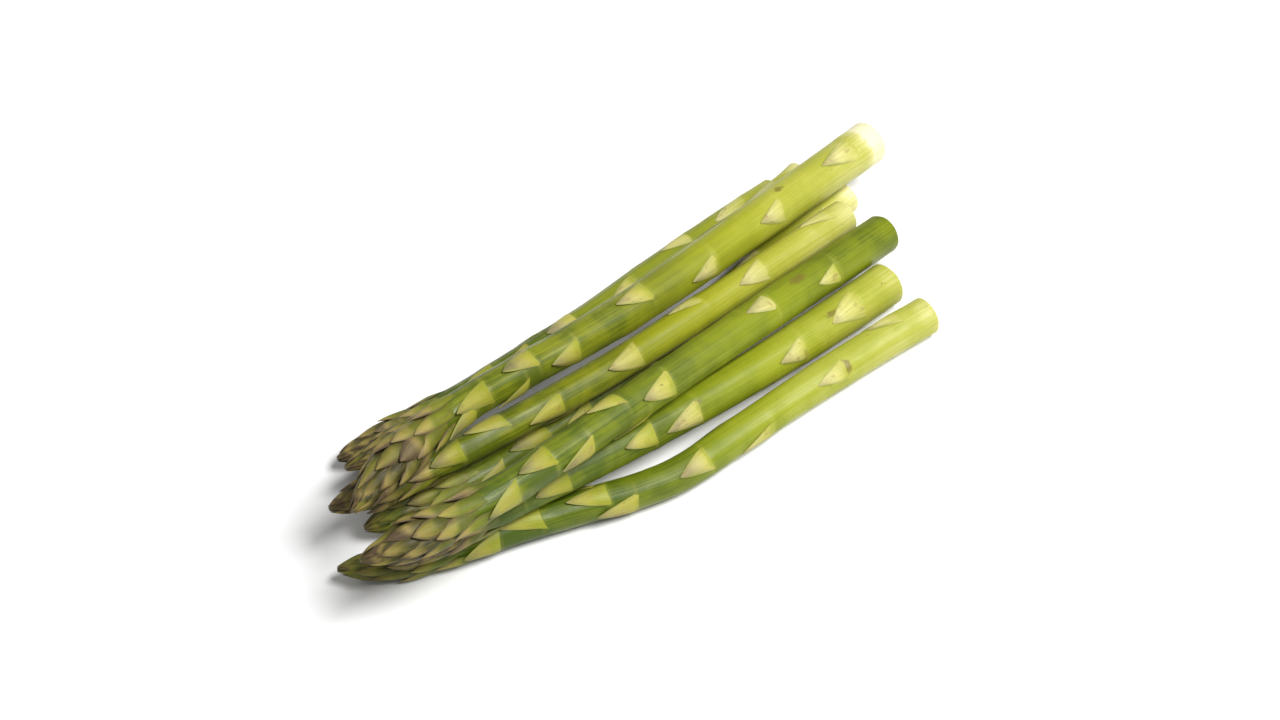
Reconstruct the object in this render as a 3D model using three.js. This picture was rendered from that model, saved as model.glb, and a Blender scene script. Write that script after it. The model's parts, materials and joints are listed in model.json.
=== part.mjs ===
// A loose bundle of eight asparagus spears lying on a flat surface.
// Units are millimetres, +Z is up and the tips point along +X.
// Each spear is a stem, a scaly head and five scale leaves.
// Spears are laid down one after another: every spear settles on the
// table and on the spears that are already there, so the pile still
// rests properly when a length or a diameter is changed.
import * as THREE from 'three';

// ---------------------------------------------------------------- sizes
const SETTLE_GAP = 0.4;        // clear space kept between two spears
const JOIN_GAP = 0.3;          // clear space between a stem and its own head
const TABLE_PRESS = 0.12;      // how far the lowest stems flatten on the table
const STEM_SIDES = 12;
const STEM_RINGS = 20;
const BUTT_BEVEL = 0.6;        // small round-over at the cut end
const HEAD_SIDES = 16;         // six sides of turn from one head scale to the next
const HEAD_RINGS = 21;
const HEAD_SCALE_RINGS = 6;    // rings covered by one head scale
const HEAD_SCALE_LIFT = 0.11;  // lift of a scale's point, as a share of the head radius
const HEAD_SWELL_AT = 0.50;    // the widest place of a head, as a share of its length
const HEAD_BLUNTNESS = 2.6;    // above 1: full sides that close late, in front of the swell
const HEAD_TIP_SHARE = 0.10;   // blunt tip radius as a share of the widest radius
const LEAF_LENGTH = 12;
const LEAF_WIDTH = 9;          // measured round the stem, at the leaf's base
const LEAF_THICKNESS = 0.45;
const LEAF_GAP = 0.25;         // clear space between a leaf and its stem
const BALANCE_AT = 0.46;       // centre of weight along a spear, butt = 0, tip = 1

// Sizes of each spear, in the order in which they are laid down.
//   butt     diameter of the cut end        neck    diameter under the head
//   head     widest diameter of the head    headLength
//   x, y     place of the cut end seen from above
//   heading  direction at the cut end, degrees from +X towards +Y
//   turn     steady bend from end to end, in degrees
//   kink     local bend in degrees, at kinkAt and over kinkSpan, both
//            given as shares of the length
//   hook     sideways bend of the last part, from hookAt on, in degrees
//   arch     how far the middle bows upwards (mm)
//   nod      how far the tip droops (mm)
//   leaves   [place along the bare stem, degrees round it from the top];
//            0 is the cut end and 1 is the last place that fits a leaf
const SPEARS = [
  { length: 191.5, butt: 11.2, neck: 8.6, head: 11.2, headLength: 36, x: -78.5, y: 35,
    heading: -3.4, turn: 12, kink: -23.5, kinkAt: 0.5, kinkSpan: 0.12, hook: -31, hookAt: 0.83,
    arch: 0, nod: 0,
    leaves: [[0.07, -30], [0.24, 45], [0.44, 115], [0.60, 35], [0.81, -35]] },
  { length: 176, butt: 12.8, neck: 9.4, head: 11.0, headLength: 32, x: -78, y: 19,
    heading: 4.5, turn: -13, kink: 0, kinkAt: 0.5, kinkSpan: 0.3, hook: 6.5, hookAt: 0.7,
    arch: 0, nod: 0,
    leaves: [[0.12, 30], [0.30, 55], [0.60, 60], [0.72, 50], [0.94, 50]] },
  { length: 163, butt: 8.2, neck: 7.6, head: 10.8, headLength: 34, x: -80, y: -32,
    heading: 1, turn: 9, kink: -7, kinkAt: 0.5, kinkSpan: 0.3, hook: -13.5, hookAt: 0.7,
    arch: 0, nod: 0,
    leaves: [[0.10, 0], [0.30, -20], [0.50, 30], [0.70, 0], [0.85, 40]] },
  { length: 188, butt: 9.6, neck: 8.6, head: 12.2, headLength: 35, x: -94.5, y: -15.5,
    heading: 5.5, turn: 11, kink: -11, kinkAt: 0.5, kinkSpan: 0.3, hook: -20.5, hookAt: 0.7,
    arch: 0, nod: 0,
    leaves: [[0.08, 60], [0.27, -20], [0.46, 100], [0.64, 40], [0.82, 60]] },
  { length: 173, butt: 8.4, neck: 7.4, head: 9.6, headLength: 33, x: -86, y: -27.5,
    heading: 12, turn: -22.5, kink: 0, kinkAt: 0.5, kinkSpan: 0.3, hook: 5.5, hookAt: 0.7,
    arch: 0, nod: 0,
    leaves: [[0.08, -20], [0.27, 30], [0.46, -60], [0.65, 10], [0.84, -30]] },
  { length: 185, butt: 10.0, neck: 8.6, head: 12.2, headLength: 34, x: -83.5, y: -5,
    heading: 3, turn: -1.5, kink: -5, kinkAt: 0.5, kinkSpan: 0.3, hook: -8.5, hookAt: 0.7,
    arch: 0, nod: 0,
    leaves: [[0.04, -35], [0.26, 30], [0.43, -35], [0.62, 40], [0.82, 60]] },
  { length: 199, butt: 11.8, neck: 9.6, head: 12.8, headLength: 38, x: -88, y: 6.5,
    heading: 7.5, turn: -4.5, kink: 0, kinkAt: 0.5, kinkSpan: 0.3, hook: -18, hookAt: 0.7,
    arch: 4, nod: 1,
    leaves: [[0.18, 55], [0.36, 10], [0.65, 50], [0.76, -20], [0.86, 85]] },
  { length: 212, butt: 13.2, neck: 9.2, head: 13.2, headLength: 42, x: -108, y: -21,
    heading: 7, turn: 0.5, kink: -7, kinkAt: 0.5, kinkSpan: 0.3, hook: 19, hookAt: 0.7,
    arch: 0, nod: 5,
    leaves: [[0.07, 20], [0.29, 50], [0.48, 70], [0.64, 10], [0.82, 70]] },
];

const STEM_COLOUR = 0x8aa93a;
const HEAD_COLOUR = 0x74853a;
const LEAF_COLOUR = 0xc6cf78;

// ------------------------------------------------------------- materials
const stemMaterial = new THREE.MeshStandardMaterial({
  name: 'stem_green', color: STEM_COLOUR, roughness: 0.45, metalness: 0,
});
const headMaterial = new THREE.MeshStandardMaterial({
  name: 'head_olive', color: HEAD_COLOUR, roughness: 0.6, metalness: 0,
});
const leafMaterial = new THREE.MeshStandardMaterial({
  name: 'leaf_pale', color: LEAF_COLOUR, roughness: 0.6, metalness: 0,
});

// --------------------------------------------------------------- helpers
const DEG = Math.PI / 180;
const clamp01 = (v) => Math.min(1, Math.max(0, v));
const smooth = (v) => { const c = clamp01(v); return c * c * (3 - 2 * c); };
const mix = (a, b, t) => a + (b - a) * t;

// ------------------------------------------------------ shape of a spear
const HEADING_STEP = 1.5;  // distance between two places on a centreline

function headStart(spear) {
  return 1 - spear.headLength / spear.length;
}

// Radius of the bare stem, t runs from 0 at the cut end to 1 at the tip.
function stemRadius(spear, t) {
  const share = clamp01(t / headStart(spear));
  return mix(spear.butt, spear.neck, Math.pow(share, 1.2)) / 2;
}

// Radius of the head without its scales, u runs from 0 at the neck to 1.
function headCore(spear, u) {
  const widest = spear.head / 2 / (1 + HEAD_SCALE_LIFT);
  if (u < HEAD_SWELL_AT) {
    return mix(spear.neck / 2, widest, smooth(u / HEAD_SWELL_AT));
  }
  const v = (u - HEAD_SWELL_AT) / (1 - HEAD_SWELL_AT);
  const taper = Math.pow(Math.max(0, 1 - Math.pow(v, HEAD_BLUNTNESS)), 0.9);
  return widest * mix(HEAD_TIP_SHARE, 1, taper);
}

function outerRadius(spear, t) {
  const start = headStart(spear);
  if (t <= start) return stemRadius(spear, t);
  return headCore(spear, (t - start) / (1 - start)) * (1 + HEAD_SCALE_LIFT);
}

// Centreline seen from above, found by walking along the heading.
function planLine(spear, planLength) {
  const count = Math.round(spear.length / HEADING_STEP);
  const step = planLength / count;
  const headingAt = (t) => DEG * (spear.heading + spear.turn * t
    + spear.kink * smooth((t - spear.kinkAt) / spear.kinkSpan + 0.5)
    + spear.hook * smooth((t - spear.hookAt) / (1 - spear.hookAt)));
  const places = [];
  let x = spear.x;
  let y = spear.y;
  for (let i = 0; i <= count; i += 1) {
    const t = i / count;
    places.push({ t, x, y, r: outerRadius(spear, t) });
    const middle = headingAt((i + 0.5) / count);
    x += step * Math.cos(middle);
    y += step * Math.sin(middle);
  }
  return places;
}

// Height of the spear's own curve over its straight rest line.
function ownCurve(spear, t) {
  return spear.arch * 4 * t * (1 - t) - spear.nod * Math.pow(clamp01((t - 0.8) / 0.2), 2);
}

// Lowest height of each place that clears the table and the laid spears.
function neededHeights(spear, places, laid) {
  const flat = Math.cos(Math.PI / STEM_SIDES);
  return places.map((place) => {
    let height = place.r * flat;
    for (const other of laid) {
      for (const q of other.places) {
        const reach = place.r + q.r + SETTLE_GAP;
        const dx = place.x - q.x;
        const dy = place.y - q.y;
        const rest = reach * reach - dx * dx - dy * dy;
        if (rest > 0) height = Math.max(height, q.z + Math.sqrt(rest));
      }
    }
    return height - ownCurve(spear, place.t);
  });
}

// A straight rest line over all needed heights, touching on both sides of
// the balance point: two supports, like a stick laid across others.
function restLine(places, heights) {
  const rim = [];
  places.forEach((place, i) => {
    const p = { t: place.t, h: heights[i] };
    while (rim.length > 1) {
      const a = rim[rim.length - 2];
      const b = rim[rim.length - 1];
      if ((b.t - a.t) * (p.h - a.h) - (b.h - a.h) * (p.t - a.t) < 0) break;
      rim.pop();
    }
    rim.push(p);
  });
  for (let i = 0; i + 1 < rim.length; i += 1) {
    if (rim[i + 1].t >= BALANCE_AT) {
      const rise = (rim[i + 1].h - rim[i].h) / (rim[i + 1].t - rim[i].t);
      return { rise, start: rim[i].h - rise * rim[i].t };
    }
  }
  return { rise: 0, start: rim[0].h };
}

function laySpear(spear, laid) {
  let planLength = spear.length;
  let places = [];
  for (let pass = 0; pass < 3; pass += 1) {
    places = planLine(spear, planLength);
    const line = restLine(places, neededHeights(spear, places, laid));
    for (const p of places) p.z = line.start + line.rise * p.t + ownCurve(spear, p.t);
    planLength = Math.sqrt(spear.length ** 2 - line.rise ** 2);
  }
  return { spear, places };
}

// ------------------------------------------- places on a settled spear
function spotAt(line, t) {
  const last = line.places.length - 1;
  const f = clamp01(t) * last;
  const i = Math.min(last - 1, Math.floor(f));
  const a = line.places[i];
  const b = line.places[i + 1];
  const before = line.places[Math.max(0, i - 1)];
  const after = line.places[Math.min(last, i + 2)];
  const blend = f - i;
  const centre = new THREE.Vector3(
    mix(a.x, b.x, blend), mix(a.y, b.y, blend), mix(a.z, b.z, blend),
  );
  const along = new THREE.Vector3(
    mix(b.x - before.x, after.x - a.x, blend),
    mix(b.y - before.y, after.y - a.y, blend),
    mix(b.z - before.z, after.z - a.z, blend),
  ).normalize();
  const side = new THREE.Vector3(-along.y, along.x, 0).normalize();
  const up = new THREE.Vector3().crossVectors(along, side);
  return { centre, along, side, up };
}

// A point at a distance from the centreline; degrees count from the top
// towards the left-hand side when looking from the butt to the tip.
function aroundPoint(line, t, angle, distance) {
  const spot = spotAt(line, t);
  return spot.centre
    .addScaledVector(spot.up, Math.cos(angle) * distance)
    .addScaledVector(spot.side, Math.sin(angle) * distance);
}

// ------------------------------------------------------------ mesh making
function geometryFrom(points, faces) {
  const geometry = new THREE.BufferGeometry();
  const flat = points.flatMap((p) => [p.x, p.y, p.z]);
  geometry.setAttribute('position', new THREE.Float32BufferAttribute(flat, 3));
  geometry.setIndex(faces.flat());
  geometry.computeVertexNormals();
  return geometry;
}

// Skin over a row of equal rings, closed at both ends.
function skinRings(rings, startCap, endCap) {
  const sides = rings[0].length;
  const points = rings.flat();
  const faces = [];
  for (let r = 0; r + 1 < rings.length; r += 1) {
    for (let k = 0; k < sides; k += 1) {
      const a = r * sides + k;
      const b = r * sides + (k + 1) % sides;
      faces.push([a, b + sides, b], [a, a + sides, b + sides]);
    }
  }
  const first = points.length;
  points.push(startCap, endCap);
  const lastRing = (rings.length - 1) * sides;
  for (let k = 0; k < sides; k += 1) {
    const next = (k + 1) % sides;
    faces.push([first, k, next]);
    faces.push([first + 1, lastRing + next, lastRing + k]);
  }
  return geometryFrom(points, faces);
}

function pressedOnTable(point) {
  point.z = Math.max(0, point.z - TABLE_PRESS);
  return point;
}

function stemGeometry(line) {
  const { spear } = line;
  const end = headStart(spear) - JOIN_GAP / spear.length;
  const bevel = BUTT_BEVEL / spear.length;
  const places = [0, bevel];
  for (let i = 1; i <= STEM_RINGS; i += 1) places.push(mix(bevel, end, i / STEM_RINGS));
  const rings = places.map((t, i) => {
    const radius = stemRadius(spear, t) - (i === 0 ? BUTT_BEVEL * 0.8 : 0);
    return Array.from({ length: STEM_SIDES }, (_, k) => {
      const angle = (k + 0.5) / STEM_SIDES * 2 * Math.PI;
      return pressedOnTable(aroundPoint(line, t, angle, radius));
    });
  });
  const startCap = pressedOnTable(spotAt(line, 0).centre);
  const endCap = pressedOnTable(spotAt(line, end).centre);
  return skinRings(rings, startCap, endCap);
}

// Lift of the head's scales at a ring and a side. Scale number i starts
// at ring i and six sides further round than the one before it, and its
// edge runs back one ring for every side away from its middle.
function scaleLift(ring, side) {
  let lift = 0;
  for (let i = -HEAD_SCALE_RINGS; i <= ring; i += 1) {
    const turned = (((side - 6 * i) % HEAD_SIDES) + HEAD_SIDES) % HEAD_SIDES;
    const away = Math.min(turned, HEAD_SIDES - turned);
    const reach = HEAD_SCALE_RINGS - 1.4 * away;
    const into = ring - i;
    if (away <= 3 && into <= reach) {
      lift = Math.max(lift, 0.25 + 0.75 * into / HEAD_SCALE_RINGS - 0.1 * away);
    }
  }
  return lift;
}

function headGeometry(line) {
  const { spear } = line;
  const start = headStart(spear);
  const rings = [];
  for (let r = 0; r < HEAD_RINGS; r += 1) {
    const u = r / HEAD_RINGS;
    const t = mix(start, 1, u);
    const core = headCore(spear, u);
    rings.push(Array.from({ length: HEAD_SIDES }, (_, k) => {
      const angle = (k + 0.5) / HEAD_SIDES * 2 * Math.PI;
      const lift = core * HEAD_SCALE_LIFT * (r === 0 ? 0 : scaleLift(r, k));
      return pressedOnTable(aroundPoint(line, t, angle, core + lift));
    }));
  }
  const startCap = pressedOnTable(spotAt(line, start).centre);
  const endCap = pressedOnTable(spotAt(line, 1).centre);
  return skinRings(rings, startCap, endCap);
}

// --------------------------------------------------------- scale leaves
const LEAF_ROWS = [0, 0.28, 0.55, 0.8];
const LEAF_COLUMNS = 4;

function leafRow(line, at, angle, share) {
  const { spear } = line;
  const bareLength = headStart(spear) * spear.length - LEAF_LENGTH - JOIN_GAP * 3;
  const t = (at * bareLength + share * LEAF_LENGTH) / spear.length;
  const base = stemRadius(spear, t) + LEAF_GAP;
  const half = LEAF_WIDTH / 2 / base * (1 - Math.pow(share, 1.5));
  const columns = share < 1 ? LEAF_COLUMNS : 0;
  const row = { inner: [], outer: [] };
  for (let c = 0; c <= columns; c += 1) {
    const across = columns ? c / columns * 2 - 1 : 0;
    const a = angle + half * across;
    row.inner.push(aroundPoint(line, t, a, base));
    row.outer.push(aroundPoint(line, t, a, base + LEAF_THICKNESS));
  }
  return row;
}

function leafRows(line, at, angle) {
  return [...LEAF_ROWS, 1].map((share) => leafRow(line, at, angle, share));
}

// How much room a leaf has to the nearest other spear and to the table.
function leafRoom(line, at, angle, lines) {
  let room = Infinity;
  for (const row of leafRows(line, at, angle)) {
    for (const p of row.outer) {
      room = Math.min(room, p.z - TABLE_PRESS);
      for (const other of lines) {
        if (other === line) continue;
        for (const q of other.places) {
          const d = Math.hypot(p.x - q.x, p.y - q.y, p.z - q.z);
          room = Math.min(room, d - q.r);
        }
      }
    }
  }
  return room;
}

// The wanted angle, or the nearest one at which the leaf is not squeezed.
function freeAngle(line, at, wanted, lines) {
  let best = { angle: wanted * DEG, room: -Infinity };
  for (let turn = 0; turn <= 180; turn += 10) {
    for (const sign of [1, -1]) {
      const angle = (wanted + sign * turn) * DEG;
      const room = leafRoom(line, at, angle, lines);
      if (room > LEAF_GAP + 0.1) return angle;
      if (room > best.room) best = { angle, room };
    }
  }
  return best.angle;
}

function leafGeometry(line, at, angle) {
  const rows = leafRows(line, at, angle);
  const points = [];
  const number = (p) => { points.push(pressedOnTable(p)); return points.length - 1; };
  const outer = rows.map((row) => row.outer.map(number));
  const inner = rows.map((row) => row.inner.map(number));
  const faces = [];
  const quad = (a, b, c, d) => faces.push([a, c, b], [a, d, c]);
  for (let r = 0; r + 1 < rows.length; r += 1) {
    const pointed = outer[r + 1].length === 1;
    for (let c = 0; c < LEAF_COLUMNS; c += 1) {
      if (pointed) {
        faces.push([outer[r][c + 1], outer[r][c], outer[r + 1][0]]);
        faces.push([inner[r][c], inner[r][c + 1], inner[r + 1][0]]);
      } else {
        quad(outer[r][c], outer[r][c + 1], outer[r + 1][c + 1], outer[r + 1][c]);
        quad(inner[r][c + 1], inner[r][c], inner[r + 1][c], inner[r + 1][c + 1]);
      }
    }
    const end = outer[r + 1].length - 1;
    quad(inner[r][0], outer[r][0], outer[r + 1][0], inner[r + 1][0]);
    quad(outer[r][LEAF_COLUMNS], inner[r][LEAF_COLUMNS], inner[r + 1][end], outer[r + 1][end]);
  }
  for (let c = 0; c < LEAF_COLUMNS; c += 1) {
    quad(outer[0][c + 1], outer[0][c], inner[0][c], inner[0][c + 1]);
  }
  return geometryFrom(points, faces);
}

// -------------------------------------------------------------- assembly
const group = new THREE.Group();
group.name = 'asparagus_bundle';

const lines = [];
for (const spear of SPEARS) lines.push(laySpear(spear, lines));

function addMesh(name, geometry, material) {
  const mesh = new THREE.Mesh(geometry, material);
  mesh.name = name;
  group.add(mesh);
}

lines.forEach((line, i) => {
  const name = `spear_${i + 1}`;
  addMesh(`${name}_stem`, stemGeometry(line), stemMaterial);
  addMesh(`${name}_head`, headGeometry(line), headMaterial);
  line.spear.leaves.forEach(([at, wanted], k) => {
    const angle = freeAngle(line, at, wanted, lines);
    addMesh(`${name}_leaf_${k + 1}`, leafGeometry(line, at, angle), leafMaterial);
  });
});

// Bring the bundle's box to the origin: centred in X and Y, z = 0 below.
const box = new THREE.Box3().setFromObject(group);
for (const mesh of group.children) {
  mesh.geometry.translate(-(box.min.x + box.max.x) / 2, -(box.min.y + box.max.y) / 2, -box.min.z);
}

export default group;
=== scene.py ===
# %% [markdown]
# # A loose bundle of green asparagus
#
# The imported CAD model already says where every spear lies, how long and how
# thick it is, and where its scale leaves grow. This lesson adds the looks: a
# waxy ribbed stem, papery triangular leaves, and a bud made of overlapping
# scales. We start by loading that model, and we keep its size to compare with
# ours at the end. Lengths are in metres, so a millimetre gets its own name.

import json
import math
import random

import bpy
import numpy as np
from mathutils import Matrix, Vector

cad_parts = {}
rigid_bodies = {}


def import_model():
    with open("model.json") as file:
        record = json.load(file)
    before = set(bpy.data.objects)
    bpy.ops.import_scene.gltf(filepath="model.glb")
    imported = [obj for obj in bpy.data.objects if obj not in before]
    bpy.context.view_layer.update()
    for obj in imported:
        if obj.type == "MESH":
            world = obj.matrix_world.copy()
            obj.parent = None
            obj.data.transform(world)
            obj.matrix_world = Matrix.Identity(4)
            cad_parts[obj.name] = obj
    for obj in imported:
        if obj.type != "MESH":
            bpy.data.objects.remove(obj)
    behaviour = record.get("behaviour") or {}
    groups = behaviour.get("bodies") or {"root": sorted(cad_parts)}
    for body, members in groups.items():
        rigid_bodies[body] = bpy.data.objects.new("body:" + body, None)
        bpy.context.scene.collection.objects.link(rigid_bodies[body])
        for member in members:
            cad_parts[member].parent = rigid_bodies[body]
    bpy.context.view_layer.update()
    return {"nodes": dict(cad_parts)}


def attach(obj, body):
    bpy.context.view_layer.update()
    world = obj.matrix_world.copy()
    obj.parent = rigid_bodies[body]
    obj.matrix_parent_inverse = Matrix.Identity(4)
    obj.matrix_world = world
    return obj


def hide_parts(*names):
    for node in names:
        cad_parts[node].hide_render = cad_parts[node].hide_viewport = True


for leftover in list(bpy.data.objects):
    bpy.data.objects.remove(leftover)
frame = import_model()
MM = 0.001
SPEAR_COUNT = sum(1 for name in frame["nodes"] if name.endswith("_stem"))
LEAVES_PER_SPEAR = sum(1 for name in frame["nodes"] if name.startswith("spear_1_leaf"))
print("spears", SPEAR_COUNT, "leaves on each", LEAVES_PER_SPEAR)

# %% [markdown]
# ## The camera, first
#
# A long lens from a little under a metre gives the flat, calm perspective of a
# product picture. We place it by an angle round the table, a height angle and a
# distance, because these are easy to change one at a time. The tips point
# towards us. The lights will be placed in the same way.

# %% Camera
LOOK_AT = Vector((-7.66, -11.23, 0)) * MM


def add_object(name, data):
    thing = bpy.data.objects.new(name, data)
    bpy.context.scene.collection.objects.link(thing)
    return thing


def aim(thing, azimuth, height, distance):
    """Place a thing by two angles in degrees and a distance, facing LOOK_AT."""
    a, h = math.radians(azimuth), math.radians(height)
    back = Vector((math.sin(a) * math.cos(h), -math.cos(a) * math.cos(h), math.sin(h)))
    thing.location = LOOK_AT + back * distance
    thing.rotation_euler = back.to_track_quat("Z", "Y").to_euler()


lens = bpy.data.cameras.new("camera")
lens.lens = 85
lens.sensor_width = 36
lens.clip_start = 0.05
camera = add_object("camera", lens)
aim(camera, azimuth=139.4, height=48, distance=863.5 * MM)
bpy.context.scene.camera = camera
print("camera at", [round(v, 3) for v in camera.location])

# %% [markdown]
# ## Reading a spear's centreline from its CAD solids
#
# We could type the curves in again, but then the looks and the CAD could drift
# apart. Instead we slice each solid with planes across X, because every spear
# runs mostly along X. The middle of a slice lies on the centreline, and the
# distance of its outline from that middle is the radius. A short moving average
# takes away the small steps that the facets leave.

# %% Slice a solid
SLICE_STEP = 2.5 * MM
FEWEST_SLICES = 4


def triangles_of(node):
    mesh = frame["nodes"][node].data
    points = np.array([v.co for v in mesh.vertices])
    corners = np.array([list(p.vertices) for p in mesh.polygons])
    return points[corners]


def slice_outline(triangles, x):
    """Pieces of outline where the plane at x cuts the triangles."""
    pieces = []
    for tri in triangles[(triangles[:, :, 0].min(1) < x) & (triangles[:, :, 0].max(1) > x)]:
        ends = []
        for a, b in ((0, 1), (1, 2), (2, 0)):
            if (tri[a, 0] - x) * (tri[b, 0] - x) < 0:
                share = (x - tri[a, 0]) / (tri[b, 0] - tri[a, 0])
                ends.append(tri[a] + share * (tri[b] - tri[a]))
        if len(ends) == 2:
            pieces.append(ends)
    return np.array(pieces)


def slice_solid(node, inset):
    """Middles and outlines of a solid's slices, away from its slanted ends."""
    triangles = triangles_of(node)
    low = triangles[:, :, 0].min() + inset
    high = triangles[:, :, 0].max() - inset
    count = max(FEWEST_SLICES, int((high - low) / SLICE_STEP))
    middles, outlines = [], []
    for x in np.linspace(low, high, count):
        pieces = slice_outline(triangles, x)
        lengths = np.linalg.norm(pieces[:, 0] - pieces[:, 1], axis=1)
        middles.append((pieces.mean(1) * lengths[:, None]).sum(0) / lengths.sum())
        outlines.append(pieces.reshape(-1, 3))
    return np.array(middles), outlines, triangles.reshape(-1, 3)


print("slice helpers ready, one slice every", SLICE_STEP / MM, "mm")

# %% [markdown]
# ## One spear as numbers
#
# From the slices we build a small record for each spear: points along the
# centreline at even steps, the direction there, a sideways and an upward
# direction, and the radius. Everything later hangs on these: a point of the
# skin is "so far along, so far round, so far out".

# %% Centreline and radius of every spear
LINE_STEP = 1.0 * MM
# A slice nearer than this to the end of its solid would be cut slantwise.
STEM_INSET = 3.2 * MM
HEAD_INSET = 3.6 * MM
TIP_RADIUS = 0.7 * MM
# How many slices to each side the moving averages take in.
SMOOTH_LINE = 3
SMOOTH_RADIUS = 2
# The outline's points lie between corners and flats; most of the way out is the skin.
SKIN_PERCENTILE = 85
CUT_FLARE = 1.01


def smooth(values, width):
    """Moving average that keeps the ends where they are."""
    padded = np.concatenate([
        2 * values[:1] - values[width:0:-1], values, 2 * values[-1:] - values[-2:-width - 2:-1]])
    kernel = np.hanning(2 * width + 3)[1:-1]
    kernel /= kernel.sum()
    columns = [np.convolve(padded[:, k], kernel, "valid") for k in range(values.shape[1])]
    return np.stack(columns, -1)


def resample(points, values, step):
    """Places along a line at even steps, with the line and the values there."""
    gaps = np.linalg.norm(np.diff(points, axis=0), axis=1)
    along = np.concatenate([[0], np.cumsum(gaps)])
    places = np.linspace(0, along[-1], max(8, int(along[-1] / step)))
    line = np.stack([np.interp(places, along, points[:, k]) for k in range(3)], -1)
    return places, line, np.interp(places, along, values)


def directions(line):
    """Forward, sideways and up at each point of a line."""
    forward = np.gradient(line, axis=0)
    forward /= np.linalg.norm(forward, axis=1)[:, None]
    side = np.stack([-forward[:, 1], forward[:, 0], np.zeros(len(forward))], -1)
    side /= np.linalg.norm(side, axis=1)[:, None]
    return forward, side, np.cross(forward, side)


def read_spear(number):
    stem, stem_rings, stem_points = slice_solid(f"spear_{number}_stem", STEM_INSET)
    head, head_rings, head_points = slice_solid(f"spear_{number}_head", HEAD_INSET)
    middles = smooth(np.vstack([stem, head]), SMOOTH_LINE)
    rings = stem_rings + head_rings
    forward = directions(middles)[0]
    radii = []
    for middle, ahead, ring in zip(middles, forward, rings):
        out = ring - middle
        out -= np.outer(out @ ahead, ahead)
        radii.append(np.percentile(np.linalg.norm(out, axis=1), SKIN_PERCENTILE))
    radii = smooth(np.array(radii)[:, None], SMOOTH_RADIUS)[:, 0]
    # The cut end and the tip lie past the last slices, straight ahead.
    back = ((stem_points - middles[0]) @ forward[0]).min()
    front = ((head_points - middles[-1]) @ forward[-1]).max()
    middles = np.vstack([middles[0] + forward[0] * back, middles,
                         middles[-1] + forward[-1] * front])
    radii = np.concatenate([[radii[0] * CUT_FLARE], radii, [TIP_RADIUS]])
    places, line, radius = resample(middles, radii, LINE_STEP)
    forward, side, up = directions(line)
    neck_point = stem_points[stem_points[:, 0].argmax()]
    neck = places[np.linalg.norm(line - neck_point, axis=1).argmin()]
    return dict(number=number, places=places, line=line, radius=radius, forward=forward,
                side=side, up=up, neck=neck, length=places[-1])


def at(spear, key, place):
    """One of a spear's rows of numbers, read at any place along it."""
    values = spear[key]
    if values.ndim == 1:
        return np.interp(place, spear["places"], values)
    return np.stack([np.interp(place, spear["places"], values[:, k]) for k in range(3)], -1)


spears = [read_spear(n + 1) for n in range(SPEAR_COUNT)]
for spear in spears:
    print("spear", spear["number"], "length", round(spear["length"] / MM), "mm, neck at",
          round(spear["neck"] / MM), "mm, cut end", round(2 * spear["radius"][3] / MM, 1), "mm")

# %% [markdown]
# ## Where the scale leaves grow
#
# Small triangular leaves sit flat on a stem and point to its tip. Five on each
# spear are CAD solids, and we read their places back from those. A real spear has
# a few more, closer together below the head: a short list adds the ones on the
# side we see, and a spiral adds others on the far side, where they have room
# beside their neighbours and over the table.

# %% Leaves from the CAD, and the extra ones
LEAF_LENGTH = 12 * MM
GOLDEN_ANGLE = math.radians(137.508)
# Place along the bare stem (0 cut end, 1 last fit) and degrees round from the top.
EXTRA_LEAVES = {
    1: [(0.76, 92), (0.95, 15), (1.04, 82)],
    2: [(1.05, 5)],
    3: [(0.96, 20)],
    4: [(0.93, 20), (1.05, 75)],
    5: [(0.75, 60), (0.94, 20)],
    6: [(0.95, -10), (1.06, 35)],
    7: [(0.95, 15), (1.04, 70)],
    8: [(0.91, 5), (0.94, 110), (1.02, 40), (1.06, 88)],
}
# The bare stem ends a little before the last leaf's tip would reach the bud.
BEFORE_BUD = 0.9 * MM
# The spiral only fills the far and lower sides, degrees from the top.
FAR_SIDE = (145, 290)
SPIRAL_LEAVES = 22
# A spiral leaf needs this much room: along to its neighbours, round to them in
# radians, and over its back.
NEIGHBOUR_REACH = 15 * MM
NEIGHBOUR_ANGLE = 1.3
ROOM_OVER = 0.3 * MM
BACK_HEIGHT = 0.7 * MM


def locate(spear, point):
    """Place along a spear and angle round it of a point near its skin."""
    index = np.linalg.norm(spear["line"] - point, axis=1).argmin()
    out = point - spear["line"][index]
    place = spear["places"][index] + out @ spear["forward"][index]
    return place, math.atan2(out @ spear["side"][index], out @ spear["up"][index])


def skin_point(spear, place, angle, out):
    radial = math.cos(angle) * at(spear, "up", place) + math.sin(angle) * at(spear, "side", place)
    return at(spear, "line", place) + radial * (at(spear, "radius", place) + out)


def cad_leaf(spear, index):
    """Where a CAD leaf starts, and the angle its tip points at."""
    triangles = triangles_of(f"spear_{spear['number']}_leaf_{index}").reshape(-1, 3)
    spots = np.array([locate(spear, point) for point in triangles])
    tip_angle = spots[spots[:, 0].argmax(), 1]
    return spots[:, 0].min(), tip_angle


def room_for(spear, start, angle, long):
    """Smallest space between a leaf's back and the table or another spear."""
    room = 1.0
    for share in (0.05, 0.4, 0.8):
        for sway in (-0.5, 0, 0.5):
            point = skin_point(spear, start + share * long, angle + sway * (1 - share),
                               BACK_HEIGHT)
            room = min(room, point[2])
            for other in spears:
                if other is not spear:
                    gaps = np.linalg.norm(other["line"] - point, axis=1) - other["radius"]
                    room = min(room, gaps.min())
    return room


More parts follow.
